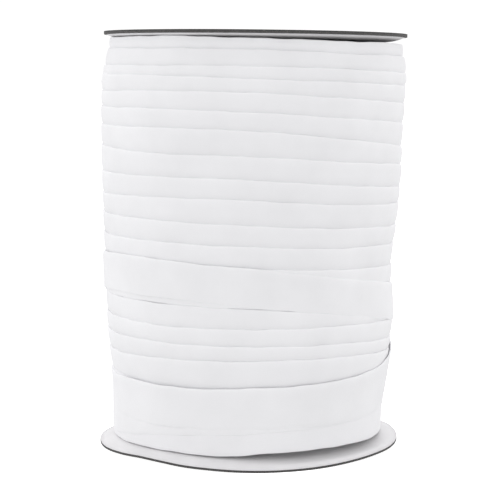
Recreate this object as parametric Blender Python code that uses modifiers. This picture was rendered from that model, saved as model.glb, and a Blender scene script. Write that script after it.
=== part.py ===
# Reel of folded bias tape, 20 mm wide, wound between two board discs.
# Run it with: blender --background --python part.py
#
# The frame: the origin is on the floor under the middle of the leaning reel, +Z runs up the reel,
# and -Y is the front. Sizes and heights are in millimetres and are scaled once, in metres().
# Angles are in degrees around the reel: 0 is the front and 90 is its right-hand side,
# so the tape runs towards larger angles as it is wound.

from collections import namedtuple
import math

import bmesh
import bpy
import numpy as np
from mathutils import Matrix

METRE = 0.001

# Discs
DISC_RADIUS = 78.9
BOTTOM_DISC_THICKNESS = 1.3
TOP_DISC_THICKNESS = 1.8
DISC_EDGE_BEVEL = 0.25
DISC_SIDES = 96

# Their rims are bent away from the tape, the bottom one down to the floor and the top one up by less.
# The bend grows as the square of the way out from its start to the flat foot that the disc stands on.
BEND_STEPS = 4
BOTTOM_BEND_START = 63.0
BOTTOM_DISC_BEND = 6.4
TOP_BEND_START = 68.0
TOP_DISC_BEND = 2.1
FOOT_RADIUS = 77.3

# The discs' middles: the winding has pushed the top disc to the right and tipped it.
# TOP_DISC_HEIGHT is the height of its flat middle's underside.
BOTTOM_DISC_X = -2.4
TOP_DISC_X = 2.4
TOP_DISC_HEIGHT = 211.5
TOP_DISC_TILT_DEGREES = 0.9

# Tape
TAPE_THICKNESS = 0.9

# Winding
SEAT_GAP = 0.3
SEAT_RADIUS = 52.0
COLUMNS = 72
SIDE_VIEW_ANGLE = 70.0
EDGE_ROUNDING = 0.25
TOP_MOAT_RADIUS = 66.0
TOP_MOAT_DEPTH = 1.6
TOP_RIM_DROP = 0.5
TOP_RIM_INSET = 2.2
FOOT_STEP = 2.0

# Where round the reel its hidden back starts on either side, and how long a change takes there
FADE_ANGLE = 70.0
LONG_FADE_ANGLE = 80.0
BACK_STARTS_RIGHT = 100.0
BACK_STARTS_LEFT = -110.0
LAST_STEP_FADES = 60.0

# The wound body: its radius over the turns of its last full layer, and how far its middle
# stands to the right of the origin
Section = namedtuple("Section", "height radius lean")
BODY = (
    Section(1.3, 71.0, -3.0),
    Section(13.3, 71.2, -2.9),
    Section(31.3, 71.6, -2.2),
    Section(51.3, 74.3, -1.6),
    Section(65.3, 75.5, -1.5),
    Section(83.3, 75.4, -1.9),
    Section(101.3, 76.0, -1.9),
    Section(119.3, 77.4, -0.9),
    Section(136.3, 78.4, -0.3),
    Section(161.3, 79.0, 0.2),
    Section(187.3, 79.6, 1.2),
    Section(195.3, 79.2, 1.6),
    Section(205.3, 77.4, 2.2),
    Section(215.3, 75.8, 2.4),
)

# Height of each turn's upper edge, at its left, front and right, from the top of the reel down
Turn = namedtuple("Turn", "left front right")
TURNS = (
    Turn(212.6, 210.9, 208.6),
    Turn(207.5, 206.3, 203.0),
    Turn(199.5, 198.3, 194.5),
    Turn(194.8, 192.1, 188.3),
    Turn(186.3, 185.3, 179.3),
    Turn(178.3, 175.9, 169.5),
    Turn(169.1, 167.3, 158.1),
    Turn(157.3, 154.9, 148.1),
    Turn(145.1, 143.6, 136.7),
    Turn(134.1, 133.6, 128.1),
    Turn(124.1, 121.5, 116.5),
    Turn(113.4, 111.0, 107.2),
    Turn(102.7, 100.3, 96.2),
    Turn(93.8, 91.3, 85.8),
    Turn(83.3, 81.8, 76.3),
    Turn(71.8, 70.4, 67.9),
    Turn(62.8, 61.8, 58.1),
    Turn(53.3, 54.5, 51.7),
    Turn(41.3, 39.8, 39.3),
    Turn(34.3, 33.3, 32.8),
    Turn(27.8, 26.8, 28.3),
)
LOWEST_EDGE = Turn(6.6, 7.1, 7.2)
LOWEST_EDGE_BEHIND = 7.5
FIRST_EDGE_BEHIND = 211.5

# The loose outermost turns: where the tape's two edges run, and how many thicknesses it lies proud.
# A negative lift sinks its end under the turns beside it.
Knot = namedtuple("Knot", "angle upper_edge lower_edge lift")
RISING_TURN = (
    Knot(-187.5, 28.8, 9.1, -1.2),
    Knot(-110.0, 28.8, 9.1, 0.5),
    Knot(-70.0, 29.8, 9.6, 0.6),
    Knot(-38.0, 34.3, 14.5, 0.6),
    Knot(0.0, 37.6, 17.5, 0.6),
    Knot(35.0, 38.7, 18.9, 0.6),
    Knot(70.0, 40.1, 20.3, 0.6),
    Knot(130.0, 41.3, 20.9, 0.4),
    Knot(202.5, 41.9, 21.3, -1.2),
)
LAST_TURNS = (
    Knot(122.5, 42.9, 21.9, -1.2),
    Knot(205.0, 42.9, 21.7, 0.9),
    Knot(290.0, 41.1, 20.2, 1.2),
    Knot(325.0, 40.3, 19.3, 1.3),
    Knot(360.0, 41.0, 19.5, 1.3),
    Knot(395.0, 42.3, 19.5, 1.4),
    Knot(422.0, 44.9, 21.3, 1.5),
    Knot(440.0, 49.7, 27.3, 1.6),
    Knot(490.0, 63.3, 42.8, 1.3),
    Knot(540.0, 77.8, 57.8, 1.0),
    Knot(600.0, 95.3, 75.3, 0.8),
    Knot(645.0, 103.9, 84.7, 0.7),
    Knot(685.0, 104.1, 84.7, 0.7),
    Knot(720.0, 100.7, 81.3, 0.7),
    Knot(748.0, 95.9, 76.7, 0.7),
    Knot(773.0, 90.7, 71.7, 0.7),
    Knot(795.0, 86.7, 67.1, 0.7),
    Knot(835.0, 80.8, 60.8, 0.6),
    Knot(877.5, 77.3, 57.3, -1.2),
)
Corner = namedtuple("Corner", "edge out up")
LOOSE_TURN_STEP = 5.0
LOOSE_TURN_ROOT = 5.0
FOLD_CHAMFER = 0.35

# Edges that turn by more than this stay crisp where the wound form is shaded smooth
SHARP_DEGREES = 30.0

TAPE_COLOUR = (0.86, 0.86, 0.88, 1.0)
BOARD_COLOUR = (0.13, 0.13, 0.13, 1.0)


def metres(points):
    return [tuple(float(value) * METRE for value in point) for point in points]


def smooth_curve(xs, ys, at):
    """Reads a smooth curve through the points (xs, ys): a cubic in each span, with each point's
    slope from its neighbours."""
    xs = np.asarray(xs, float)
    ys = np.asarray(ys, float)
    at = np.clip(np.asarray(at, float), xs[0], xs[-1])
    slopes = np.gradient(ys, xs)
    span = np.clip(np.searchsorted(xs, at, side="right") - 1, 0, len(xs) - 2)
    width = xs[span + 1] - xs[span]
    t = (at - xs[span]) / width
    rise = ys[span + 1] - ys[span]
    start = slopes[span] * width
    end = slopes[span + 1] * width
    return ys[span] + t * (start + t * (3 * rise - 2 * start - end + t * (start + end - 2 * rise)))


def body_radius(height):
    return smooth_curve([s.height for s in BODY], [s.radius for s in BODY], height)


def body_lean(height):
    return float(smooth_curve([s.height for s in BODY], [s.lean for s in BODY], height))


def smooth_step(value):
    t = min(max(value, 0.0), 1.0)
    return t * t * (3 - 2 * t)


def turn_edge(turn, angle):
    """Height of a turn's upper edge, on one smooth line that all the turns share."""
    knots = [(-180.0, FIRST_EDGE_BEHIND)]
    for number, row in enumerate(TURNS):
        knots.append((360.0 * number - SIDE_VIEW_ANGLE, row.left))
        knots.append((360.0 * number, row.front))
        knots.append((360.0 * number + SIDE_VIEW_ANGLE, row.right))
    knots.append((360.0 * (len(TURNS) - 1) + 180.0, LOWEST_EDGE_BEHIND))
    return float(smooth_curve(*zip(*knots), 360.0 * turn + angle))


def lowest_edge(angle):
    around = [-180.0, -SIDE_VIEW_ANGLE, 0.0, SIDE_VIEW_ANGLE, 180.0]
    heights = [LOWEST_EDGE_BEHIND, *LOWEST_EDGE, LOWEST_EDGE_BEHIND]
    return float(smooth_curve(around, heights, angle))


def step_depth(turn, angle):
    """How far a turn's upper edge stands proud. It fades in where the layer starts and out where
    it ends, behind the reel."""
    depth = TAPE_THICKNESS
    if turn == 0:
        depth *= smooth_step((angle + 180.0) / FADE_ANGLE)
    if turn == len(TURNS) - 1:
        depth *= 1.0 - smooth_step((angle - LAST_STEP_FADES) / FADE_ANGLE)
    return depth


def top_plane(x):
    """Underside of the top disc at this x, inside its bent rim."""
    return TOP_DISC_HEIGHT - (x - TOP_DISC_X) * math.tan(math.radians(TOP_DISC_TILT_DEGREES))


def ring_point(angle, radius, height):
    turned = math.radians(angle)
    x = body_lean(height) + radius * math.sin(turned)
    return (x, -radius * math.cos(turned), height)


def seat_point(angle, radius, height):
    """A point of the roll's flat ends. With no height it lies under the tilted top disc."""
    turned = math.radians(angle)
    x = body_lean(TOP_DISC_HEIGHT if height is None else height) + radius * math.sin(turned)
    level = top_plane(x) - SEAT_GAP if height is None else height
    return (x, -radius * math.cos(turned), level)


def body_column(angle):
    """One upright line of the wound body, from the top seat down to the bottom seat."""
    first = turn_edge(0, angle)
    behind_right = smooth_step((angle - BACK_STARTS_RIGHT) / LONG_FADE_ANGLE)
    behind_left = smooth_step((BACK_STARTS_LEFT - angle) / FADE_ANGLE)
    behind = max(behind_right, behind_left)
    rim_height = (first - TOP_RIM_DROP) * (1 - behind) + FIRST_EDGE_BEHIND * behind
    rim_radius = body_radius(rim_height) - TOP_RIM_INSET * (1 - behind) - TAPE_THICKNESS * behind
    moat_x, moat_y, moat_height = seat_point(angle, TOP_MOAT_RADIUS, None)
    moat_height = min(moat_height - TOP_MOAT_DEPTH, rim_height - TOP_RIM_DROP)
    ends = [
        seat_point(angle, SEAT_RADIUS, None),
        (moat_x, moat_y, moat_height),
        ring_point(angle, rim_radius, rim_height),
    ]
    turns = []
    for turn in range(len(TURNS)):
        edge = turn_edge(turn, angle)
        depth = step_depth(turn, angle)
        radius = float(body_radius(edge))
        hollow = radius - TAPE_THICKNESS
        turns.append(ring_point(angle, hollow, edge + EDGE_ROUNDING))
        turns.append(ring_point(angle, hollow + depth, edge - EDGE_ROUNDING))
    bottom_seat = BOTTOM_DISC_BEND + BOTTOM_DISC_THICKNESS + SEAT_GAP
    foot = lowest_edge(angle)
    foot_radius = float(body_radius(foot))
    feet = [
        ring_point(angle, foot_radius, foot),
        seat_point(angle, foot_radius - FOOT_STEP, bottom_seat),
        seat_point(angle, SEAT_RADIUS, bottom_seat),
    ]
    return ends, turns, feet


def wound_body():
    """The wound form: each column's points joined to the next. After a full turn the line of each
    turn's edge has reached the next turn, so the last column meets the first one row lower."""
    angles = [-180.0 + 360.0 * column / COLUMNS for column in range(COLUMNS)]
    columns = [body_column(angle) for angle in angles]
    rows = 2 * len(TURNS)
    points = []
    top_rings = [[], [], []]
    foot_rings = [[], [], []]
    turn_rows = [[] for _ in range(rows)]
    for ends, turns, feet in columns:
        for ring, point in zip(top_rings, ends):
            ring.append(len(points))
            points.append(point)
        for row, point in zip(turn_rows, turns):
            row.append(len(points))
            points.append(point)
        for ring, point in zip(foot_rings, feet):
            ring.append(len(points))
            points.append(point)
    # The first turn starts, and the last one ends, at a single point
    turn_rows[0][0] = turn_rows[1][0] = top_rings[2][0]
    for ring in top_rings + foot_rings:
        ring.append(ring[0])
    for number, row in enumerate(turn_rows):
        row.append(turn_rows[number + 2][0] if number + 2 < rows else foot_rings[0][0])
    lines = top_rings + turn_rows + foot_rings
    faces = []
    for upper, lower in zip(lines, lines[1:]):
        for column in range(COLUMNS):
            corners = [upper[column], lower[column], lower[column + 1], upper[column + 1]]
            whole = [c for place, c in enumerate(corners) if c != corners[place - 1]]
            if len(whole) > 2:
                faces.append(whole)
    faces.append(top_rings[0][:-1])
    faces.append(foot_rings[2][:-1][::-1])
    return points, faces


def knot_value(knots, column, angle):
    return float(smooth_curve([k.angle for k in knots], [getattr(k, column) for k in knots], angle))


def loose_turn(knots):
    """A run of the outermost tape: its section carried along its edge line, and closed at both ends."""
    angles = [k.angle for k in knots]
    steps = int(round((angles[-1] - angles[0]) / LOOSE_TURN_STEP))
    # Each corner of the section: how far out of the winding, and how far in from an edge
    section = (
        Corner("upper_edge", -LOOSE_TURN_ROOT, 0.0),
        Corner("upper_edge", FOLD_CHAMFER, 0.0),
        Corner("upper_edge", TAPE_THICKNESS, -FOLD_CHAMFER),
        Corner("lower_edge", TAPE_THICKNESS, FOLD_CHAMFER),
        Corner("lower_edge", FOLD_CHAMFER, 0.0),
        Corner("lower_edge", -LOOSE_TURN_ROOT, 0.0),
    )
    points = []
    faces = []
    size = len(section)
    for step in range(steps + 1):
        angle = angles[0] + (angles[-1] - angles[0]) * step / steps
        lift = knot_value(knots, "lift", angle) - 1.0
        for corner in section:
            height = knot_value(knots, corner.edge, angle) + corner.up
            radius = float(body_radius(height)) + lift * TAPE_THICKNESS + corner.out
            points.append(ring_point(angle, radius, height))
        if step:
            new = size * step
            old = new - size
            for corner in range(size):
                following = (corner + 1) % size
                faces.append([old + corner, old + following, new + following, new + corner])
    faces.append(list(range(size)))
    faces.append(list(range(size * steps, size * (steps + 1)))[::-1])
    return points, faces


def closed_mesh(name, points, faces):
    mesh = bpy.data.meshes.new(name)
    mesh.from_pydata(metres(points), [], faces)
    shape = bmesh.new()
    shape.from_mesh(mesh)
    loose = [vertex for vertex in shape.verts if not vertex.link_faces]
    bmesh.ops.delete(shape, geom=loose, context="VERTS")
    bmesh.ops.recalc_face_normals(shape, faces=shape.faces)
    shape.to_mesh(mesh)
    shape.free()
    mesh.shade_smooth()
    mesh.set_sharp_from_angle(angle=math.radians(SHARP_DEGREES))
    return mesh


def material(name, colour, roughness):
    made = bpy.data.materials.new(name)
    made.use_nodes = True
    shader = made.node_tree.nodes["Principled BSDF"]
    shader.inputs["Base Color"].default_value = colour
    shader.inputs["Roughness"].default_value = roughness
    shader.inputs["Metallic"].default_value = 0.0
    return made


def add_object(name, mesh, collection):
    made = bpy.data.objects.new(name, mesh)
    collection.objects.link(made)
    return made


def add_union(target, cutter):
    cut = target.modifiers.new("join_" + cutter.name, "BOOLEAN")
    cut.operation = "UNION"
    cut.solver = "MANIFOLD"
    cut.object = cutter
    cutter.hide_render = True
    cutter.display_type = "WIRE"


def build_roll(parts, helpers, cloth):
    roll = add_object("tape_roll", closed_mesh("tape_roll", *wound_body()), parts)
    roll.data.materials.append(cloth)
    for name, knots in (("rising_turn", RISING_TURN), ("last_turns", LAST_TURNS)):
        turns = add_object(name, closed_mesh(name, *loose_turn(knots)), helpers)
        add_union(roll, turns)
    return roll


def disc_profile(thickness, start, bend):
    """Half section of a disc about its axis, from the middle of its upper face out to the rim and back
    along the underside. Its flat middle's underside is at height 0, and a positive bend lifts the rim.
    The bend grows as the square of the way out from its start."""
    lower = [(0.0, 0.0)]
    for step in range(BEND_STEPS + 1):
        out = step / BEND_STEPS
        lower.append((start + (FOOT_RADIUS - start) * out, bend * out**2))
    lower.append((DISC_RADIUS, bend))
    upper = [(radius, height + thickness) for radius, height in lower]
    return upper + lower[::-1]


def build_disc(name, profile, placed, parts, board):
    mesh = bpy.data.meshes.new(name)
    outline = metres((radius, 0.0, height) for radius, height in profile)
    mesh.from_pydata(outline, [(place, place + 1) for place in range(len(outline) - 1)], [])
    disc = add_object(name, mesh, parts)
    disc.matrix_world = placed
    turned = disc.modifiers.new("turned", "SCREW")
    turned.steps = turned.render_steps = DISC_SIDES
    turned.use_merge_vertices = True
    turned.merge_threshold = 0.00001
    rounded = disc.modifiers.new("rounded_rim", "BEVEL")
    rounded.width = DISC_EDGE_BEVEL * METRE
    rounded.segments = 1
    rounded.limit_method = "ANGLE"
    rounded.angle_limit = math.radians(60)
    mesh.materials.append(board)
    return disc


def build_discs(parts, board):
    """The bottom disc stands level, and the top one is tipped as it is turned about its own middle."""
    level = Matrix.Translation((BOTTOM_DISC_X * METRE, 0.0, BOTTOM_DISC_BEND * METRE))
    sagging = disc_profile(BOTTOM_DISC_THICKNESS, BOTTOM_BEND_START, -BOTTOM_DISC_BEND)
    build_disc("disc_bottom", sagging, level, parts, board)
    raised = Matrix.Translation((TOP_DISC_X * METRE, 0.0, TOP_DISC_HEIGHT * METRE))
    tipped = raised @ Matrix.Rotation(math.radians(TOP_DISC_TILT_DEGREES), 4, "Y")
    rising = disc_profile(TOP_DISC_THICKNESS, TOP_BEND_START, TOP_DISC_BEND)
    build_disc("disc_top", rising, tipped, parts, board)


def clear_scene():
    for old in list(bpy.data.objects):
        bpy.data.objects.remove(old, do_unlink=True)


def main():
    clear_scene()
    parts = bpy.data.collections.new("bias_tape_roll")
    helpers = bpy.data.collections.new("helpers")
    for collection in (parts, helpers):
        bpy.context.scene.collection.children.link(collection)
    cloth = material("tape_cloth", TAPE_COLOUR, 0.9)
    board = material("grey_board", BOARD_COLOUR, 0.85)
    build_discs(parts, board)
    build_roll(parts, helpers, cloth)


main()
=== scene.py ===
import math
import bmesh
import bpy
import numpy as np
from mathutils import Matrix


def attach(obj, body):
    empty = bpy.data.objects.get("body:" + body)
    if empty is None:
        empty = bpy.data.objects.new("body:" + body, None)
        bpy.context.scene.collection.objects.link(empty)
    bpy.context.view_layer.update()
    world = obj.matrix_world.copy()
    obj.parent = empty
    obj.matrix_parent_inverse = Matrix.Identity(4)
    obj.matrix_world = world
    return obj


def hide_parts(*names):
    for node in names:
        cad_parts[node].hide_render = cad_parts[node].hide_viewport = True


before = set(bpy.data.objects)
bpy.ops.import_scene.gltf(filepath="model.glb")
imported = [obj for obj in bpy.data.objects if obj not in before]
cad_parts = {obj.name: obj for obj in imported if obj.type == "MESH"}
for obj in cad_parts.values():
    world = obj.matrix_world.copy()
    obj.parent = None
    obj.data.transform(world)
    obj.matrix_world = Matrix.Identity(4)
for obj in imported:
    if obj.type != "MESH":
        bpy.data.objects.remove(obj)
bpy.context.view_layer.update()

# A reel of white bias tape, wound between two board discs. Lengths are in millimetres and angles in degrees,
# unless a line says otherwise. Angle 0 is the front of the reel and 90 is its right-hand side.
mm = 0.001


# A cubic in each span between the given points, with each point's slope taken from its neighbours:
# y = y0 + t * (first + t * (3 * rise - 2 * first - last + t * (first + last - 2 * rise)))
def smoothCurve(xs, ys, at):
    xs, ys = np.asarray(xs, float), np.asarray(ys, float)
    at = np.clip(np.asarray(at, float), xs[0], xs[-1])
    slopes = np.gradient(ys, xs)
    span = np.clip(np.searchsorted(xs, at, side="right") - 1, 0, len(xs) - 2)
    width = xs[span + 1] - xs[span]
    t = (at - xs[span]) / width
    rise = ys[span + 1] - ys[span]
    first, last = slopes[span] * width, slopes[span + 1] * width
    return ys[span] + t * (first + t * (3 * rise - 2 * first - last + t * (first + last - 2 * rise)))


# The same curve through one column of a table, whose first column says where each row belongs
def readTable(table, column, at):
    return smoothCurve(table[:, 0], table[:, column], at)


# 0 below the first value, 1 above the second, and an even S between them
def fade(low, high, value):
    t = np.clip((np.asarray(value, float) - low) / (high - low), 0, 1)
    return t * t * (3 - 2 * t)


# Smooth unevenness, about -1 to 1: a sum of sines of these wave lengths, each with its own fixed random phase
def wander(at, lengths, seed):
    phases = np.random.default_rng(seed).uniform(0, 2 * math.pi, len(lengths))
    turns = 2 * math.pi * np.asarray(at, float)
    waves = [np.sin(turns / size + phase) for size, phase in zip(lengths, phases)]
    return sum(waves) / math.sqrt(len(lengths))


# Whether the quads face inwards. With their corners a, b, c and d seen from the middle, the sum of
# a . (c x b + d x c) is minus six times the volume that they enclose, so it is above 0 where they do.
def facesInwards(verts, quads):
    a, b, c, d = (verts[quads[:, k]] - verts.mean(0) for k in range(4))
    return np.einsum("ij,ij->", a, np.cross(c, b) + np.cross(d, c)) > 0


# A grid of points (along, across, xyz) becomes a mesh of quads. Across, it closes on itself. Along, it
# closes too, or its two ends are capped. The cloth map's u and v are grids with one more column or row where
# that way is closed, and the painted light is a number for each point, by which the cloth is painted lighter
# or
# darker there: a painted highlight and painted shade.
def gridPiece(name, points, closeAlong=False, capped=False, cloth=None, paintedLight=None):
    along, across = points.shape[:2]
    rows = np.arange(along if closeAlong else along - 1)
    i, j = np.meshgrid(rows, np.arange(across), indexing="ij")
    nextI, nextJ = (i + 1) % along, (j + 1) % across
    quads = np.stack([i * across + j, i * across + nextJ, nextI * across + nextJ, nextI * across + j], -1)
    quads = quads.reshape(-1, 4)
    verts = (points * mm).reshape(-1, 3)
    flip = facesInwards(verts, quads)
    corners = (quads[:, ::-1] if flip else quads).reshape(-1)
    sizes = np.full(len(quads), 4)
    if capped:
        first = np.arange(across)
        last = (along - 1) * across + first[::-1]
        if flip:
            first, last = first[::-1], last[::-1]
        corners = np.concatenate([corners, first[::-1], last[::-1]])
        sizes = np.concatenate([sizes, [across, across]])
    mesh = bpy.data.meshes.new(name)
    mesh.vertices.add(len(verts))
    mesh.vertices.foreach_set("co", verts.reshape(-1).astype(np.float32))
    mesh.loops.add(len(corners))
    mesh.loops.foreach_set("vertex_index", corners.astype(np.int32))
    mesh.polygons.add(len(sizes))
    mesh.polygons.foreach_set("loop_start", (np.cumsum(sizes) - sizes).astype(np.int32))
    mesh.polygons.foreach_set("loop_total", sizes.astype(np.int32))
    mesh.polygons.foreach_set("use_smooth", np.ones(len(sizes), bool))
    if cloth is not None:
        flat = np.zeros((len(corners), 2), np.float32)
        for column, grid in enumerate(cloth):
            each = np.stack([grid[i, j], grid[i, j + 1], grid[i + 1, j + 1], grid[i + 1, j]], -1)
            each = each.reshape(-1, 4)
            flat[:len(quads) * 4, column] = (each[:, ::-1] if flip else each).reshape(-1)
        mesh.uv_layers.new(name="cloth").data.foreach_set("uv", flat.reshape(-1))
    if paintedLight is not None:
        values = paintedLight.reshape(-1).astype(np.float32)
        mesh.attributes.new("paintedLight", "FLOAT", "POINT").data.foreach_set("value", values)
    mesh.update(calc_edges=True)
    mesh.validate()
    piece = bpy.data.objects.new(name, mesh)
    bpy.context.scene.collection.objects.link(piece)
    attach(piece, "root")
    return piece


# The points of a pole become one point, and what has no area there goes. The distances are in metres.
def closePoles(piece):
    shape = bmesh.new()
    shape.from_mesh(piece.data)
    bmesh.ops.remove_doubles(shape, verts=shape.verts, dist=1e-6)
    bmesh.ops.dissolve_degenerate(shape, edges=shape.edges, dist=1e-7)
    shape.to_mesh(piece.data)
    shape.free()
    return piece


# The form of the wound tape, as in the solid: height, radius, and how far its middle stands to the right
woundForm = np.array([
    (1.3, 71.0, -3.0), (13.3, 71.2, -2.9), (31.3, 71.6, -2.2), (51.3, 74.3, -1.6), (65.3, 75.5, -1.5),
    (83.3, 75.4, -1.9), (101.3, 76.0, -1.9), (119.3, 77.4, -0.9), (136.3, 78.4, -0.3), (161.3, 79.0, 0.2),
    (187.3, 79.6, 1.2), (195.3, 79.2, 1.6), (205.3, 77.4, 2.2), (215.3, 75.8, 2.4)], float)


def woundRadius(height):
    return readTable(woundForm, 1, height)


def woundLean(height):
    return readTable(woundForm, 2, height)


# x = lean + r sin(angle), y = -r cos(angle), z = height
def onReel(angle, radius, height):
    turned, radius, height = np.broadcast_arrays(np.radians(angle), radius, height)
    return np.stack([woundLean(height) + radius * np.sin(turned), -radius * np.cos(turned), height], -1)


topDisc = {
    "x": 2.4,                # of its middle, which the winding has pushed to the right
    "height": 211.5,         # of its flat middle's underside
    "tilt": 0.9,             # down to the right
    "thickness": 1.8,
    "bendStart": 68.0,       # radius at which its rim starts to bend
    "bend": 2.1,             # and how far up the rim goes
}
# The bottom disc's rim bends down to the floor
bottomDisc = {"x": -2.4, "height": 6.4, "thickness": 1.3, "bendStart": 63.0, "bend": -6.4}


# Height of the top disc's underside at a point of its flat middle: height - (x - x of its middle) * tan(tilt)
def topPlane(x):
    return topDisc["height"] - (x - topDisc["x"]) * math.tan(math.radians(topDisc["tilt"]))


tape = {
    "thickness": 0.9,        # of the folded tape
    "width": 20.0,
    "foldRadius": 0.5,       # of its two folded edges
    "softness": 0.27,        # how far the face falls back towards a fold
    "softReach": 1.3,        # and over what distance
    "tuck": 0.96,            # how far the face turns in under the next turn, in thicknesses
    "tuckPower": 4.0,        # how late it does so
    "mostTuck": 1.2,
    "firstLean": 0.6,        # how much more the first turn leans in, in thicknesses
    "paintedFoldHighlight": 0.065,       # painted highlight: how much lighter the cloth is painted along its upper fold
    "paintedHighlightReach": 1.3,
    "paintedTuckShade": 0.06,       # painted shade: how much darker it is painted where it goes in under the next turn
    "paintedShadePower": 5,
    "edgeWander": 0.16,      # how far its edges run off line
    "proudWander": 0.10,     # how unevenly it stands off, in thicknesses
    "ripple": 0.10,          # height of the puckers along its folds
    "rippleReach": 3.0,      # how far they run from the upper fold
    "lowRipple": 0.7,        # a second row lies at this share of what shows of the turn
    "lowRippleReach": 4.0,
    "upperLiftReach": 7.0,   # how much of the tape comes away with an edge that stands off
    "lowerLiftReach": 6.0,
    "leastShown": 5.0,       # a turn shows at least and at most this much below its upper edge
    "mostShown": 16.5,
    "lowMargin": 2.6,        # where no turn covers it, the face ends this far above the lower edge
    "clothRadius": 76.0,     # radius at which lengths of tape are measured
    "stepAngle": 3.0,
}

# Wave lengths of its unevenness, in millimetres along the tape
tapeWaves = {
    "upperEdge": (61, 37, 23, 14), "lowerEdge": (71, 43, 27, 17), "proud": (83, 47, 29),
    "ripple": (19, 13.7, 29, 11.3), "lowRipple": (23, 15.1, 31, 12.4)}

# Where the section's points lie
tapeSection = {
    "near": (0.85, 1.3, 2.0, 2.9, 4.0),        # distances below the upper edge
    "face": (0.14, 0.28, 0.42, 0.54, 0.64, 0.73, 0.81, 0.88, 0.94, 1.0),    # shares of the rest that shows
    "low": (2.2, 1.4, 0.85),                   # distances above the lower edge
    "fold": (36, 72, 108, 144, 180),           # angles round a fold
    "back": (0.7, 0.3),                        # shares of the width
}

# How the tape's two ends are laid: the start comes out from behind the turn below it
tapeEnds = {
    "startSink": 1.4,              # how deep the start lies, in thicknesses
    "startRises": (-238, -195),    # over which angles it comes out
    "leanFades": (120, 260),       # and over which the first turn stops leaning in
    "tuckFades": (-240, -180),     # before the lowest turn's front, the turns stop being tucked in
}

# Height of each turn's upper edge at -70, -35, 0, 35 and 70 degrees, from the top turn down
frontAngles = np.array([-70, -35, 0, 35, 70])
turnEdges = np.array([
    (213.2, 213.0, 211.4, 209.9, 209.2), (207.7, 207.0, 206.0, 203.9, 203.0),
    (199.4, 198.8, 198.1, 196.4, 194.7), (194.9, 194.0, 192.0, 190.1, 188.3),
    (186.2, 186.5, 185.4, 182.3, 179.5), (178.4, 177.8, 176.0, 172.7, 169.5),
    (169.2, 168.6, 167.1, 162.5, 157.9), (158.1, 156.0, 154.8, 151.4, 148.3),
    (145.1, 144.7, 143.5, 139.8, 136.7), (134.1, 134.6, 133.6, 130.2, 128.2),
    (124.1, 123.1, 121.3, 118.6, 116.7), (113.2, 112.6, 111.0, 108.7, 107.3),
    (102.5, 101.7, 100.2, 98.1, 96.0), (93.8, 92.8, 91.3, 88.8, 85.8),
    (82.5, 82.0, 80.5, 77.0, 73.5), (71.8, 70.8, 70.4, 69.8, 67.9),
    (62.8, 62.4, 61.8, 60.9, 58.1), (53.2, 54.2, 54.5, 54.1, 51.6),
    (41.3, 39.8, 39.7, 39.6, 39.3), (34.3, 33.8, 33.3, 33.1, 32.8),
    (27.8, 27.3, 26.8, 27.3, 28.3)])
# Behind, where the tape starts under the top disc: angle and height of its upper edge
startEdge = np.array([
    (-238, 208.5), (-220, 209.6), (-200, 211.0), (-180, 212.2), (-150, 213.0), (-120, 213.2)])
# Height of the lowest turn's lower edge, round the reel
lowestEdge = np.array([
    (-180, 7.5), (-70, 6.4), (-50, 6.8), (-35, 7.0), (-22, 6.5), (-11, 6.15), (-4, 6.6), (3, 7.5), (11, 7.7),
    (20, 7.85), (29, 7.95), (39, 7.7), (70, 6.9), (180, 7.5)])

# The outer turns that follow the lowest of those on the same tape. Their angles go on from its front:
# angle, upper edge, lower edge, how many thicknesses the tape stands proud, and how far each edge stands off
outerTurns = np.array([
    (180, 29.3, 7.7, 0.0, 0.0, 0.0), (250, 28.9, 8.6, 0.5, 0.0, 0.0),
    (290, 29.7, 9.5, 0.6, 0.0, 0.0), (308, 32.2, 12.2, 0.6, 0.0, 0.0),
    (322, 34.5, 14.6, 0.6, 0.0, 0.0), (338, 35.9, 16.1, 0.6, 0.0, 0.0),
    (355, 37.1, 17.1, 0.6, 0.0, 0.0), (371, 38.1, 18.1, 0.6, 0.0, 0.0),
    (395, 38.6, 18.7, 0.6, 0.0, 0.0), (415, 39.3, 20.1, 0.6, 0.0, 0.0),
    (450, 39.9, 20.5, 0.6, 0.0, 0.0), (500, 41.1, 21.1, 0.6, 0.0, 0.0),
    (565, 42.3, 21.7, 0.7, 0.0, 0.0), (650, 40.9, 20.2, 0.9, 0.0, 0.0),
    (665, 40.9, 19.9, 1.1, 0.0, 0.0), (685, 40.3, 19.4, 1.3, 0.0, 0.0),
    (705, 40.4, 19.6, 1.3, 0.0, -0.3), (720, 41.0, 19.5, 1.3, 0.0, -0.5),
    (741, 41.5, 19.6, 1.3, 0.0, -0.5), (763, 42.6, 19.5, 1.35, 0.0, -0.4),
    (782, 44.6, 20.9, 1.4, 0.0, -0.1), (797, 48.2, 25.5, 1.4, 0.15, 0.0),
    (812, 52.9, 31.8, 1.35, 0.1, 0.0), (850, 63.3, 42.8, 1.3, 0.0, 0.0),
    (900, 77.8, 57.8, 1.1, 0.0, 0.0), (960, 95.3, 75.3, 1.0, 0.0, 0.0),
    (1010, 104.1, 84.8, 1.05, 0.0, 0.6), (1032, 104.6, 85.1, 1.05, 0.0, 0.6),
    (1045, 103.9, 84.7, 1.0, 0.0, 0.6), (1056, 102.9, 84.0, 0.9, 0.0, 0.3),
    (1066, 102.0, 82.9, 0.9, 0.0, 0.0), (1080, 100.6, 81.2, 0.85, 0.0, 0.0),
    (1095, 98.1, 79.2, 0.7, 0.0, -0.1), (1103, 96.6, 77.6, 0.55, 0.0, -0.2),
    (1115, 94.2, 75.4, 0.5, 0.0, -0.3), (1128, 91.7, 72.8, 0.5, 0.0, -0.25),
    (1146, 88.3, 68.8, 0.5, 0.0, -0.1), (1155, 86.8, 67.1, 0.6, 0.0, 0.2),
    (1195, 80.8, 60.8, 0.7, 0.0, 0.1), (1225, 77.9, 57.9, 0.0, 0.0, 0.0),
    (1237, 77.3, 57.3, -1.2, 0.0, 0.0)])

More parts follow.
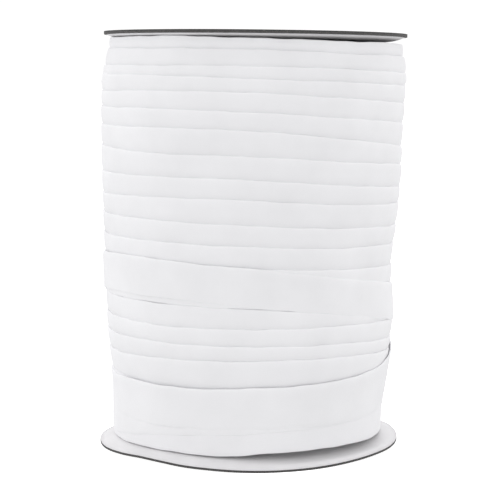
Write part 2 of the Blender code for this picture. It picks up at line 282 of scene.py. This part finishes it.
# A turn under the last one, whose lower edge shows below it. The columns are the same.
underTurn = np.array([
    (560, 91.0, 73.0, -1.2, 0.0, 0.0), (600, 93.0, 75.0, 0.0, 0.0, 0.0),
    (635, 97.0, 81.8, 0.35, 0.0, 0.1), (654, 97.0, 82.5, 0.35, 0.0, 0.2),
    (673, 96.5, 82.2, 0.35, 0.0, 0.25), (685, 96.0, 82.0, 0.35, 0.0, 0.25),
    (696, 95.5, 81.7, 0.35, 0.0, 0.25), (705, 95.0, 80.9, 0.35, 0.0, 0.25),
    (717, 94.5, 80.7, 0.35, 0.0, 0.25), (729, 93.8, 79.8, 0.3, 0.0, 0.25),
    (738, 93.0, 79.0, 0.1, 0.0, 0.2), (743, 92.5, 78.9, -0.3, 0.0, 0.0),
    (750, 92.0, 79.5, -1.0, 0.0, 0.0), (765, 90.0, 79.0, -1.4, 0.0, 0.0)])


# The tape's section is a flat band with round folded edges, and each angle has a row of its points. They go
# down the face, round the lower fold, up the back and round the upper fold. Each has its distance below the
# upper edge and its depth behind the face: round a fold, these are fold * (1 - sin(turn)) and
# thickness / 2 * (1 - cos(turn)).
def sectionPoints(width, shown):
    thickness, fold = tape["thickness"], tape["foldRadius"]
    near = np.array([[fold, *tapeSection["near"]]]) + 0 * width
    last = tapeSection["near"][-1]
    face = last + (shown - last) * np.array([tapeSection["face"]])
    low = width - np.array([[*tapeSection["low"], fold]])
    front = np.concatenate([near, face, (shown + low[:, :1]) / 2, low], 1)
    turn = np.radians(np.array([tapeSection["fold"]]))
    curl = fold * (1 - np.sin(turn)) + 0 * width
    sunk = thickness / 2 * (1 - np.cos(turn)) + 0 * width
    back = width * np.array([tapeSection["back"]])
    below = np.concatenate([front, width - curl, back, curl[:, ::-1]], 1)
    into = np.concatenate([0 * front, sunk, np.full(back.shape, thickness), sunk[:, ::-1]], 1)
    return below, into


# Lengths along and across the cloth, in metres. The row that closes the section is added to both.
def clothGrid(arc, below, into):
    steps = np.hypot(np.diff(below, axis=1, append=below[:, :1]), np.diff(into, axis=1, append=into[:, :1]))
    across = np.concatenate([np.zeros((len(arc), 1)), np.cumsum(steps, 1)], 1)
    return (arc[:, None] + 0 * across) * mm, across * mm


# A tape carried along its edge lines. At the distance d below its upper edge, where the next turn starts at
# the distance s, and with f the distance from a fold that shows:
# radius = form radius + thickness * (proud - tuck * (d / s)^power) - softness * exp(-f / reach)
#          + lifted edges + puckers
def tapeRun(name, angle, upper, lower, spacing, shingled, lean, outer, seed):
    fold, reach = tape["foldRadius"], tape["softReach"]
    arc = np.cumsum(np.abs(np.diff(angle, prepend=angle[0]))) * math.radians(1) * tape["clothRadius"]
    upper = upper + tape["edgeWander"] * wander(arc, tapeWaves["upperEdge"], seed)
    lower = lower + tape["edgeWander"] * wander(arc, tapeWaves["lowerEdge"], seed + 1)
    proud, upperLift, lowerLift = outer
    proud = proud + tape["proudWander"] * wander(arc, tapeWaves["proud"], seed + 2)
    ripple = wander(arc, tapeWaves["ripple"], seed + 3)
    lowRipple = wander(arc, tapeWaves["lowRipple"], seed + 4)
    free = upper - lower - tape["lowMargin"]
    shown = np.where(shingled > 0.5, np.clip(spacing, tape["leastShown"], tape["mostShown"]), free)
    width = upper - lower
    # from here on each of these is a column, with one row for each angle
    upper, width, shown, spacing, shingled, lean, proud, upperLift, lowerLift, ripple, lowRipple = (
        row[:, None] for row in (
            upper, width, shown, spacing, shingled, lean, proud, upperLift, lowerLift, ripple, lowRipple))
    below, into = sectionPoints(width, shown)
    height = upper - below
    part = np.clip(below / np.clip(spacing, tape["leastShown"], None), 0, 1)
    tucked = tape["tuck"] * shingled * part ** tape["tuckPower"]
    tucked = np.minimum(tucked + lean * part, tape["mostTuck"])
    soft = np.exp(-np.clip(below - fold, 0, None) / reach)
    soft = soft + (1 - shingled) * np.exp(-np.clip(width - fold - below, 0, None) / reach)
    lift = upperLift * np.clip(1 - below / tape["upperLiftReach"], 0, 1) ** 2
    lift = lift + lowerLift * np.clip(1 - (width - below) / tape["lowerLiftReach"], 0, 1) ** 2
    offLow = np.abs(below - tape["lowRipple"] * shown)
    puckers = ripple * np.exp(-below / tape["rippleReach"])
    puckers = puckers + lowRipple * np.exp(-offLow / tape["lowRippleReach"])
    radius = (woundRadius(height) + tape["thickness"] * (proud - tucked) - tape["softness"] * soft + lift
              + tape["ripple"] * puckers - into)
    # Painted light in the cloth's colour: a painted highlight along the upper fold, and painted shade where
    # the tape goes in under the next turn
    paintedLight = tape["paintedFoldHighlight"] * np.exp(-below / tape["paintedHighlightReach"])
    paintedLight = paintedLight - tape["paintedTuckShade"] * shingled * part ** tape["paintedShadePower"]
    points = onReel(angle[:, None], radius, height)
    return gridPiece(name, points, capped=True, cloth=clothGrid(arc, below, into), paintedLight=paintedLight)


# Even steps from the first angle to the last, which is kept where a step meets it
def stepAngles(first, last):
    return np.arange(first, last + 0.01, tape["stepAngle"])


# One tape: the shingled turns from the top down, and then the loose outer turns that climb back up
def buildTape():
    turns = len(turnEdges)
    lastFront = 360.0 * (turns - 1)
    turnAngles = (360 * np.arange(turns)[:, None] + frontAngles).reshape(-1)
    knotAngles = np.concatenate([startEdge[:, 0], turnAngles, lastFront + outerTurns[:, 0]])
    knotHeights = np.concatenate([startEdge[:, 1], turnEdges.reshape(-1), outerTurns[:, 1]])
    angle = stepAngles(knotAngles[0], knotAngles[-1])
    past = angle - lastFront
    upper = smoothCurve(knotAngles, knotHeights, angle)
    foot = readTable(lowestEdge, 1, past)
    lower = np.where(past > -180, foot, np.maximum(upper - tape["width"], foot))
    lower = np.where(past > 180, readTable(outerTurns, 2, past), lower)
    shingled = 1 - fade(*tapeEnds["tuckFades"], past)
    spacing = upper - np.interp(angle + 360, angle, upper)
    outer = [readTable(outerTurns, column, past) * (past >= 180) for column in (3, 4, 5)]
    outer[0] = outer[0] - tapeEnds["startSink"] * (1 - fade(*tapeEnds["startRises"], angle))
    lean = tape["firstLean"] * (1 - fade(*tapeEnds["leanFades"], angle))
    return tapeRun("woundTape", angle, upper, lower, spacing, shingled, lean, outer, seed=5)


def buildUnderTurn():
    angle = stepAngles(underTurn[0, 0], underTurn[-1, 0])
    upper, lower, *outer = [readTable(underTurn, column, angle) for column in range(1, 6)]
    return tapeRun("underTurn", angle, upper, lower, upper - lower, 0 * angle, 0 * angle, outer, seed=31)


windings = {
    "layer": 0.95,            # the wound layers show as rings this far apart
    "ringDepth": 0.5,
    "ringPoints": 3,
    "innerRadius": 30.0,      # the rings lie between this and the outer radius
    "outerRadius": 74.0,
    "topAt": 209.3,           # heights at which the two ends' radii are read from the wound form
    "footAt": 9.3,
    "topInset": 2.4,          # and how far inside it they stop
    "footInset": 2.2,
    "topGap": 0.4,            # how far the ends keep off the discs
    "footGap": 0.35,
    "topMoat": 2.6,           # how far they fall away from them towards the rim
    "footMoat": 3.4,
    "topMoatAt": (58, 68),    # and over which radii
    "footMoatAt": (57, 67),
    "uneven": 0.15,           # unevenness of the upper end
    "unevenWaves": (120, 72, 40),    # in degrees round the reel
    "under": 2.7,             # how far the wall lies inside the wound form
    "footHollow": 8.0,        # and how much further at its foot
    "hollowAt": (9, 19),      # below these heights
    "wallEnds": (0.02, 0.98),    # shares of the way down, clear of the ends' rims
    "clothSize": (75.0, 330.0),    # radius and length of the cloth map
    "roundSteps": 180,
    "wallSteps": 40,
}


# The windings inside: a closed form just under the outer turns, whose two ends show the edges of the wound
# layers. Each end is rings a layer apart, and each ring is rounded like a fold, by
# depth * (1 - |sin(pi * ring)|) further in.
def buildWindings():
    w = windings
    start = w["innerRadius"]
    around = np.linspace(-180, 180, w["roundSteps"], endpoint=False)[:, None]
    ringCount = int((w["outerRadius"] - start) / w["layer"])
    share = np.linspace(0, 1, ringCount * w["ringPoints"] + 1)
    hump = w["ringDepth"] * (1 - np.abs(np.sin(math.pi * share * ringCount)))
    topRadius = start + (woundRadius(w["topAt"]) - w["topInset"] - start) * share
    footRadius = start + (woundRadius(w["footAt"]) - w["footInset"] - w["footHollow"] - start) * share
    topX = woundLean(w["topAt"]) + topRadius * np.sin(np.radians(around))
    uneven = w["uneven"] * wander(around, w["unevenWaves"], seed=3) * share
    topMoat = w["topMoat"] * fade(*w["topMoatAt"], topRadius)
    topHeight = topPlane(topX) - w["topGap"] - topMoat - hump + uneven
    bottomFace = bottomDisc["height"] + bottomDisc["thickness"]
    footMoat = w["footMoat"] * fade(*w["footMoatAt"], footRadius)
    footHeight = bottomFace + w["footGap"] + footMoat + hump + 0 * around
    wall = np.linspace(*w["wallEnds"], w["wallSteps"])
    wallHeight = topHeight[:, -1:] + (footHeight[:, -1:] - topHeight[:, -1:]) * wall
    hollow = w["footHollow"] * (1 - fade(*w["hollowAt"], wallHeight))
    wallRadius = woundRadius(wallHeight) - w["under"] - hollow
    points = np.concatenate([
        onReel(around, 0, topHeight[:, :1]),
        onReel(around, topRadius + 0 * around, topHeight),
        onReel(around, wallRadius, wallHeight),
        onReel(around, footRadius[::-1] + 0 * around, footHeight[:, ::-1]),
        onReel(around, 0, footHeight[:, :1])], 1)
    points[:, [0, -1]] = points[:, [0, -1]].mean(0)
    clothRadius, clothLength = w["clothSize"]
    u = np.linspace(0, 2 * math.pi * clothRadius, w["roundSteps"] + 1)[:, None]
    v = np.linspace(0, clothLength, points.shape[1] + 1)[None, :]
    cloth = ((u + 0 * v) * mm, (v + 0 * u) * mm)
    return closePoles(gridPiece("innerWindings", points, closeAlong=True, cloth=cloth))


discs = {
    "radius": 78.9,
    "footRadius": 77.3,      # the flat foot outside the bend starts here
    "edgeRound": 0.25,
    "paper": 0.16,           # thickness of the liner
    "glueGap": 0.005,        # between it and the board
    "bottomLiner": {"inset": 0.12, "edgeRound": 0.06},    # how far inside the rim the liner stops
    "topLiner": {"inset": 1.2, "edgeRound": 0.05},
    "rough": 0.05,           # unevenness of the die-cut edge
    "roughWaves": (90, 51.43, 24, 14.4, 7.2),    # in degrees, and whole numbers of them go round
    "roughFrom": 60,         # it fades in from this radius
    "rings": (0, 12, 26, 40, 52, 60, 63, 65, 67, 68.5, 70, 71.5, 73, 74.2, 75.3, 76.3, 77.3, 78.0),
    "edgeSteps": 9,
    "roundSteps": 360,
}

# The bottom disc's rim is warped, as board gets: angle round the reel, and the rim's height off the floor
rimWarp = np.array([
    (-180, 0.7), (-150, 0.1), (-120, 0.7), (-90, 1.3), (-72, 1.2), (-56, 2.1), (-42, 2.9), (-34, 2.5),
    (-25, 1.6), (-15, 0.95), (-6, 0.4), (5, 0.0), (24, 0.1), (40, 0.75), (52, 1.2), (70, 1.3), (88, 1.9),
    (105, 2.6), (125, 1.6), (150, 0.2)], float)

# Its board also dips between tape and rim, from the front left round to the right. The dip is deepest at the
# front right, where a deep gap shows under the tape.
dip = {
    "depth": 3.0,
    "comes": (-40.0, 32.0),     # angles over which it comes
    "goes": (58.0, 100.0),      # and goes
    "falls": (54, 67),          # radii over which the board falls
    "rises": 69,                # radius from which it rises again, up to the foot
}


# The table goes three times round, so that the curve closes
def warpAt(angle):
    turns = np.concatenate([rimWarp - (360, 0), rimWarp, rimWarp + (360, 0)])
    return readTable(turns, 1, angle)


# depth * comes * (1 - goes) * falls * (1 - rises), where each of these is a fade from 0 to 1
def dipAt(angle, radius):
    near = fade(*dip["comes"], angle) * (1 - fade(*dip["goes"], angle))
    falls = fade(*dip["falls"], radius)
    rises = fade(dip["rises"], discs["footRadius"], radius)
    return dip["depth"] * near * falls * (1 - rises)


# A profile between two heights, turned round the disc's axis. With q the way out from the start of the bend
# to the foot, height = profile + bend * q^2, and where the disc is warped, + warp * q^3 - dip.
def buildDisc(name, shape, placed, low, high, radius, edgeRound, seed, warped=False):
    around = np.linspace(-180, 180, discs["roundSteps"], endpoint=False)[:, None]
    inner = np.array(discs["rings"])
    curve = np.radians(np.linspace(-90, 90, discs["edgeSteps"]))
    size = min(edgeRound, (high - low) / 2)
    edgeR = radius - size + size * np.cos(curve)
    edgeZ = np.where(curve < 0, low, high) + size * (np.sin(curve) - np.sign(curve))
    profileR = np.concatenate([inner, edgeR, inner[::-1]])
    profileZ = np.concatenate([low + 0 * inner, edgeZ, high + 0 * inner])
    rough = discs["rough"] * wander(around, discs["roughWaves"], seed)
    rough = rough * fade(discs["roughFrom"], radius, profileR)
    out = np.clip((profileR - shape["bendStart"]) / (discs["footRadius"] - shape["bendStart"]), 0, 1)
    warp = warpAt(around) * out ** 3 - dipAt(around, profileR) if warped else 0
    turned = np.radians(around)
    r = profileR + rough
    height = profileZ + shape["bend"] * out ** 2 + warp + 0 * turned
    points = np.stack([r * np.sin(turned), -r * np.cos(turned), height], -1)
    flat = points.reshape(-1, 3) @ np.array(placed.to_3x3()).T + np.array(placed.translation)
    return closePoles(gridPiece(name, flat.reshape(points.shape), closeAlong=True))


# Board with a paper liner on the face that is turned to the tape, for each disc
def buildDiscs():
    paper, glueGap = discs["paper"], discs["glueGap"]
    board = {"radius": discs["radius"], "edgeRound": discs["edgeRound"]}
    bottomLiner, topLiner = (
        {"radius": discs["radius"] - liner["inset"], "edgeRound": liner["edgeRound"]}
        for liner in (discs["bottomLiner"], discs["topLiner"]))
    level = Matrix.Translation((bottomDisc["x"], 0, bottomDisc["height"]))
    bottom = {"shape": bottomDisc, "placed": level, "seed": 41, "warped": True}
    thick = bottomDisc["thickness"]
    made = {
        "bottomBoard": buildDisc("bottomBoard", low=0, high=thick - paper, **board, **bottom),
        "bottomPaper": buildDisc(
            "bottomPaper", low=thick - paper + glueGap, high=thick, **bottomLiner, **bottom)}
    tilt = Matrix.Rotation(math.radians(topDisc["tilt"]), 4, "Y")
    tipped = Matrix.Translation((topDisc["x"], 0, topDisc["height"])) @ tilt
    top = {"shape": topDisc, "placed": tipped, "seed": 47}
    made["topBoard"] = buildDisc("topBoard", low=paper, high=topDisc["thickness"], **board, **top)
    made["topPaper"] = buildDisc("topPaper", low=0, high=paper - glueGap, **topLiner, **top)
    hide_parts("disc_bottom")
    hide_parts("disc_top")
    return made


def newMaterial(name, colour, roughness):
    material = bpy.data.materials.new(name)
    material.use_nodes = True
    shader = material.node_tree.nodes["Principled BSDF"]
    shader.inputs["Base Color"].default_value = (*colour, 1)
    shader.inputs["Roughness"].default_value = roughness
    return material, material.node_tree, shader


# A node whose inputs or settings are given by name
def addNode(tree, kind, **values):
    node = tree.nodes.new(kind)
    for key, value in values.items():
        if key in node.inputs:
            node.inputs[key].default_value = value
        else:
            setattr(node, key, value)
    return node


def addRange(tree, source, fromRange, toRange=(0.0, 1.0)):
    node = addNode(tree, "ShaderNodeMapRange")
    tree.links.new(source, node.inputs["Value"])
    node.inputs["From Min"].default_value, node.inputs["From Max"].default_value = fromRange
    node.inputs["To Min"].default_value, node.inputs["To Max"].default_value = toRange
    return node.outputs["Result"]


def addColourMix(tree, factor, first, second, blend="MIX"):
    node = addNode(tree, "ShaderNodeMix", data_type="RGBA", blend_type=blend)
    tree.links.new(factor, node.inputs["Factor"])
    node.inputs["A"].default_value = (*first, 1)
    node.inputs["B"].default_value = (*second, 1)
    return node.outputs["Result"]


# The distance is in millimetres
def addBump(tree, height, strength, distance, normal=None):
    node = addNode(tree, "ShaderNodeBump", Strength=strength, Distance=distance * mm)
    tree.links.new(height, node.inputs["Height"])
    if normal is not None:
        tree.links.new(normal, node.inputs["Normal"])
    return node.outputs["Normal"]


def addCameraMix(tree, others, camera):
    path = addNode(tree, "ShaderNodeLightPath")
    node = addNode(tree, "ShaderNodeMixShader")
    tree.links.new(path.outputs["Is Camera Ray"], node.inputs["Fac"])
    tree.links.new(others, node.inputs[1])
    tree.links.new(camera, node.inputs[2])
    return node.outputs["Shader"]


def newGroup(name, inputs, outputs):
    group = bpy.data.node_groups.new(name, "ShaderNodeTree")
    group.interface.new_socket("Vector", in_out="INPUT", socket_type="NodeSocketVector")
    for socket, value in inputs.items():
        made = group.interface.new_socket(socket, in_out="INPUT", socket_type="NodeSocketFloat")
        made.default_value = value
    for socket in outputs:
        group.interface.new_socket(socket, in_out="OUTPUT", socket_type="NodeSocketFloat")
    return group, group.nodes.new("NodeGroupInput"), group.nodes.new("NodeGroupOutput")


weaveLook = {
    "threads": 3300,         # in a metre
    "bias": 45,              # their angle to the tape
    "slubs": 900.0,          # how fine the noise is by which threads run off line
    "jitter": 0.35,          # and how far they do, in threads
    "raise": 0.5,            # how much a thread rises over the other set and sinks under it
}


# Plain weave laid on the bias: two sets of threads, each passing over and under the other.
# height = the greater of |sin x| + raise * cos x * cos y and |sin y| - raise * cos x * cos y
def biasWeaveGroup():
    look = weaveLook
    group, start, end = newGroup("biasWeave", {"Threads per metre": look["threads"]}, ("Height", "Gap"))
    link = group.links.new
    turned = addNode(group, "ShaderNodeVectorRotate", rotation_type="Z_AXIS")
    turned.inputs["Angle"].default_value = math.radians(look["bias"])
    link(start.outputs["Vector"], turned.inputs["Vector"])
    slub = addNode(group, "ShaderNodeTexNoise", Scale=look["slubs"], Detail=2.0)
    link(turned.outputs["Vector"], slub.inputs["Vector"])
    scaled = addNode(group, "ShaderNodeVectorMath", operation="SCALE")
    link(turned.outputs["Vector"], scaled.inputs[0])
    link(start.outputs["Threads per metre"], scaled.inputs["Scale"])
    jitter = addNode(group, "ShaderNodeVectorMath", operation="MULTIPLY_ADD")
    link(slub.outputs["Color"], jitter.inputs[0])
    jitter.inputs[1].default_value = (look["jitter"], look["jitter"], 0)
    link(scaled.outputs["Vector"], jitter.inputs[2])
    split = addNode(group, "ShaderNodeSeparateXYZ")
    link(jitter.outputs["Vector"], split.inputs["Vector"])

    def calculate(operation, *terms):
        node = addNode(group, "ShaderNodeMath", operation=operation)
        for place, term in enumerate(terms):
            if isinstance(term, float):
                node.inputs[place].default_value = term
            else:
                link(term, node.inputs[place])
        return node.outputs["Value"]

    x = calculate("MULTIPLY", split.outputs["X"], math.pi)
    y = calculate("MULTIPLY", split.outputs["Y"], math.pi)
    warp = calculate("ABSOLUTE", calculate("SINE", x))
    weft = calculate("ABSOLUTE", calculate("SINE", y))
    crossing = calculate("MULTIPLY", calculate("COSINE", x), calculate("COSINE", y))
    over = calculate("MULTIPLY", crossing, look["raise"])
    tall = calculate("MAXIMUM", calculate("ADD", warp, over), calculate("SUBTRACT", weft, over))
    link(tall, end.inputs["Height"])
    link(calculate("SUBTRACT", 1.0, calculate("MAXIMUM", warp, weft)), end.inputs["Gap"])
    return group


# Soft mottling in two sizes, for cloth, paper and board: 0.5 is the middle
def mottleGroup():
    group, start, end = newGroup("mottle", {"Broad": 40, "Fine": 900}, ("Broad mask", "Fine mask"))
    for socket, out, detail in (("Broad", "Broad mask", 3.0), ("Fine", "Fine mask", 5.0)):
        noise = addNode(group, "ShaderNodeTexNoise", Detail=detail)
        group.links.new(start.outputs["Vector"], noise.inputs["Vector"])
        group.links.new(start.outputs[socket], noise.inputs["Scale"])
        group.links.new(noise.outputs["Fac"], end.inputs[out])
    return group


mottleRange = (0.3, 0.7)     # nearly all of the broad mottling lies between these


# The mottling on Object coordinates, which are squashed first where the grain lies flat
def addMottle(tree, mottle, broad, fine, squash=None):
    spots = addNode(tree, "ShaderNodeGroup", node_tree=mottle, Broad=broad, Fine=fine)
    source = addNode(tree, "ShaderNodeTexCoord").outputs["Object"]
    if squash is not None:
        mapping = addNode(tree, "ShaderNodeMapping", Scale=squash)
        tree.links.new(source, mapping.inputs["Vector"])
        source = mapping.outputs["Vector"]
    tree.links.new(source, spots.inputs["Vector"])
    return spots


tapeLook = {
    "colour": (0.866, 0.864, 0.882),
    "roughness": 0.92,
    "specular": 0.25,
    "sheen": 0.12,
    "sheenRoughness": 0.6,
    "threadShade": 0.90,     # how dark the cloth is between threads
    "mottle": 0.03,
    "mottleSize": (45, 500),
    "weaveRelief": 0.05,
    "weaveStrength": 0.6,
    "pucker": 0.25,          # height of the faint puckers that run across the tape
    "puckerStrength": 0.35,
    "puckerSize": (260, 60, 1),
    "puckerTurn": 20,
    "paintedEdgeShade": 0.28,       # painted shade: how much darker the stacked edges inside are painted than the face, so the gaps under the discs read dark
}


# With a shade below 1 this is a darkened copy of the same cloth: painted shade
def tapeMaterial(name, weave, mottle, paintedDarkening=1.0):
    look = tapeLook
    colour = tuple(c * paintedDarkening for c in look["colour"])
    material, tree, shader = newMaterial(name, colour, look["roughness"])
    shader.inputs["Sheen Weight"].default_value = look["sheen"]
    shader.inputs["Sheen Roughness"].default_value = look["sheenRoughness"]
    shader.inputs["Specular IOR Level"].default_value = look["specular"]
    link = tree.links.new
    uv = addNode(tree, "ShaderNodeUVMap", uv_map="cloth")
    threads = addNode(tree, "ShaderNodeGroup", node_tree=weave)
    link(uv.outputs["UV"], threads.inputs["Vector"])
    broad, fine = look["mottleSize"]
    spots = addMottle(tree, mottle, broad, fine)
    # colour: a little darker between threads, slow mottling, and painted light: a painted highlight on the
    # upper folds and painted shade where the tape tucks under
    pores = addColourMix(tree, threads.outputs["Gap"], colour, (look["threadShade"],) * 3, "MULTIPLY")
    paleness = (1 - look["mottle"], 1 + look["mottle"] / 2)
    slow = addRange(tree, spots.outputs["Broad mask"], mottleRange, paleness)
    paintedLightNode = addNode(tree, "ShaderNodeAttribute", attribute_name="paintedLight")
    both = addNode(tree, "ShaderNodeMath", operation="ADD")
    link(paintedLightNode.outputs["Fac"], both.inputs[0])
    link(slow, both.inputs[1])
    toned = addNode(tree, "ShaderNodeVectorMath", operation="SCALE")
    link(pores, toned.inputs[0])
    link(both.outputs["Value"], toned.inputs["Scale"])
    link(toned.outputs["Vector"], shader.inputs["Base Color"])
    # relief: the weave over the puckers
    turn = (0, 0, math.radians(look["puckerTurn"]))
    stretched = addNode(tree, "ShaderNodeMapping", Scale=look["puckerSize"], Rotation=turn)
    link(uv.outputs["UV"], stretched.inputs["Vector"])
    pucker = addNode(tree, "ShaderNodeTexNoise", Scale=1.0, Detail=2.0)
    link(stretched.outputs["Vector"], pucker.inputs["Vector"])
    soft = addBump(tree, pucker.outputs["Fac"], look["puckerStrength"], look["pucker"])
    relief = addBump(tree, threads.outputs["Height"], look["weaveStrength"], look["weaveRelief"], soft)
    link(relief, shader.inputs["Normal"])
    return material


boardLook = {
    "colour": (0.062, 0.060, 0.060),
    "fleck": (0.20, 0.19, 0.18),
    "flecks": (0.52, 0.78),          # range of the fine mottling that they take
    "roughness": 0.85,
    "mottleSize": (70, 1400),
    "squash": (1, 1, 3.5),           # the fibres lie flat in the board
    "relief": 0.08,
    "strength": 0.5,
}


def boardMaterial(mottle):
    look = boardLook
    material, tree, shader = newMaterial("greyBoard", look["colour"], look["roughness"])
    broad, fine = look["mottleSize"]
    spots = addMottle(tree, mottle, broad, fine, look["squash"])
    fleck = addRange(tree, spots.outputs["Fine mask"], look["flecks"])
    tree.links.new(addColourMix(tree, fleck, look["colour"], look["fleck"]), shader.inputs["Base Color"])
    fibres = addBump(tree, spots.outputs["Fine mask"], look["strength"], look["relief"])
    tree.links.new(fibres, shader.inputs["Normal"])
    return material


paperLook = {
    "colour": (0.83, 0.82, 0.835),
    "duller": 0.93,          # the mottling's darker end
    "roughness": 0.6,
    "mottleSize": (60, 2200),
    "relief": 0.05,
    "strength": 0.3,
}


def paperMaterial(mottle):
    look = paperLook
    material, tree, shader = newMaterial("whiteLiner", look["colour"], look["roughness"])
    broad, fine = look["mottleSize"]
    spots = addMottle(tree, mottle, broad, fine)
    slow = addRange(tree, spots.outputs["Broad mask"], mottleRange)
    dull = tuple(c * look["duller"] for c in look["colour"])
    tree.links.new(addColourMix(tree, slow, dull, look["colour"]), shader.inputs["Base Color"])
    fibres = addBump(tree, spots.outputs["Fine mask"], look["strength"], look["relief"])
    tree.links.new(fibres, shader.inputs["Normal"])
    return material


studio = {
    "front": 0.73,           # light from the room in front of the reel
    "back": 1.06,            # and from behind it
    "seen": 1.05,            # what the camera sees of the room
    "floor": 0.90,           # what the camera sees of the floor: its paleness, and its glow
    "glow": 0.90,
    "floorBounce": 0.84,     # for all other rays it is an even glow of this strength, which lights the reel
    "floorRoughness": 0.9,
    "floorReach": 30.0,      # in metres
    "change": (-1.0, 0.6),   # from front to back, which are -1 and 1, the room's light changes between these
}

# Soft lights: places and sizes in metres, and power in watts
lights = {
    "leftLight": {"place": (-1.1, 0.25, 0.14), "target": (0, 0, 0.11), "size": (0.9, 0.6), "power": 3.3},
    "rightLight": {"place": (1.0, 0.5, 0.14), "target": (0, 0, 0.11), "size": (0.9, 0.6), "power": 2.6},
    "lowLight": {"place": (0, -1.3, 0.06), "target": (0, 0, 0.05), "size": (1.2, 0.2), "power": 2.8},
    "topLight": {"place": (0, -1.0, 4.0), "target": (0, 0, 0.1), "size": (2.4, 2.4), "power": 4.0},
}


def areaLight(name, place, target, size, power):
    lamp = bpy.data.lights.new(name, "AREA")
    lamp.shape = "RECTANGLE"
    lamp.size, lamp.size_y = size
    lamp.energy = power
    light = bpy.data.objects.new(name, lamp)
    bpy.context.scene.collection.objects.link(light)
    way = np.array(target, float) - np.array(place, float)
    pitch = math.acos(-way[2] / np.linalg.norm(way))
    light.rotation_euler = (pitch, 0, math.atan2(way[1], way[0]) - math.pi / 2)
    light.location = place


def buildFloor():
    reach = studio["floorReach"]
    mesh = bpy.data.meshes.new("floor")
    corners = [(-reach, -reach, 0), (reach, -reach, 0), (reach, reach, 0), (-reach, reach, 0)]
    mesh.from_pydata(corners, [], [(0, 1, 2, 3)])
    floor = bpy.data.objects.new("floor", mesh)
    bpy.context.scene.collection.objects.link(floor)
    pale, tree, shader = newMaterial("paleFloor", (studio["floor"],) * 3, studio["floorRoughness"])
    shader.inputs["Specular IOR Level"].default_value = 0.0
    shader.inputs["Emission Color"].default_value = (1, 1, 1, 1)
    shader.inputs["Emission Strength"].default_value = studio["glow"]
    bounce = addNode(tree, "ShaderNodeEmission", Strength=studio["floorBounce"])
    seen = addCameraMix(tree, bounce.outputs["Emission"], shader.outputs["BSDF"])
    tree.links.new(seen, tree.nodes["Material Output"].inputs["Surface"])
    mesh.materials.append(pale)


# A pale room that is brighter behind the reel than in front of it
def buildRoom():
    world = bpy.data.worlds.new("paleRoom")
    bpy.context.scene.world = world
    world.use_nodes = True
    tree = world.node_tree
    tree.nodes.clear()
    place = addNode(tree, "ShaderNodeTexCoord")
    split = addNode(tree, "ShaderNodeSeparateXYZ")
    tree.links.new(place.outputs["Generated"], split.inputs["Vector"])
    ramp = addRange(tree, split.outputs["Y"], studio["change"], (studio["front"], studio["back"]))
    lit = addNode(tree, "ShaderNodeBackground", Color=(1, 1, 1, 1))
    tree.links.new(ramp, lit.inputs["Strength"])
    seen = addNode(tree, "ShaderNodeBackground", Color=(1, 1, 1, 1), Strength=studio["seen"])
    mixed = addCameraMix(tree, lit.outputs["Background"], seen.outputs["Background"])
    out = addNode(tree, "ShaderNodeOutputWorld")
    tree.links.new(mixed, out.inputs["Surface"])


def buildStudio():
    buildFloor()
    for name, values in lights.items():
        areaLight(name, **values)
    buildRoom()
    bpy.context.scene.view_settings.view_transform = "Standard"
    bpy.context.scene.view_settings.look = "None"


view = {"place": (-1.1, -897.5, 194.8), "pitchDown": 5.925, "roll": -0.30, "lens": 122.9, "sensor": 36}


def buildCamera():
    data = bpy.data.cameras.new("photoCamera")
    data.sensor_width = view["sensor"]
    data.lens = view["lens"]
    data.clip_start, data.clip_end = 0.01, 100
    camera = bpy.data.objects.new("photoCamera", data)
    bpy.context.scene.collection.objects.link(camera)
    pitch = Matrix.Rotation(math.radians(90 - view["pitchDown"]), 4, "X")
    roll = Matrix.Rotation(math.radians(view["roll"]), 4, "Z")
    camera.matrix_world = Matrix.Translation([v * mm for v in view["place"]]) @ (pitch @ roll)
    bpy.context.scene.camera = camera


print("camera and studio")
buildCamera()
buildStudio()

print("tape")
weave, mottle = biasWeaveGroup(), mottleGroup()
cloth = tapeMaterial("whiteCotton", weave, mottle)
# The stacked edges inside are the same white cloth painted darker: painted shade in the crevices under the
# discs
edges = tapeMaterial("stackedEdgesPaintedShade", weave, mottle, tapeLook["paintedEdgeShade"])
tapePieces = [buildTape(), buildUnderTurn(), buildWindings()]
for piece, material in zip(tapePieces, (cloth, cloth, edges)):
    piece.data.materials.append(material)
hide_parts("tape_roll")

print("discs")
board, paper = boardMaterial(mottle), paperMaterial(mottle)
for name, piece in buildDiscs().items():
    piece.data.materials.append(paper if "Paper" in name else board)
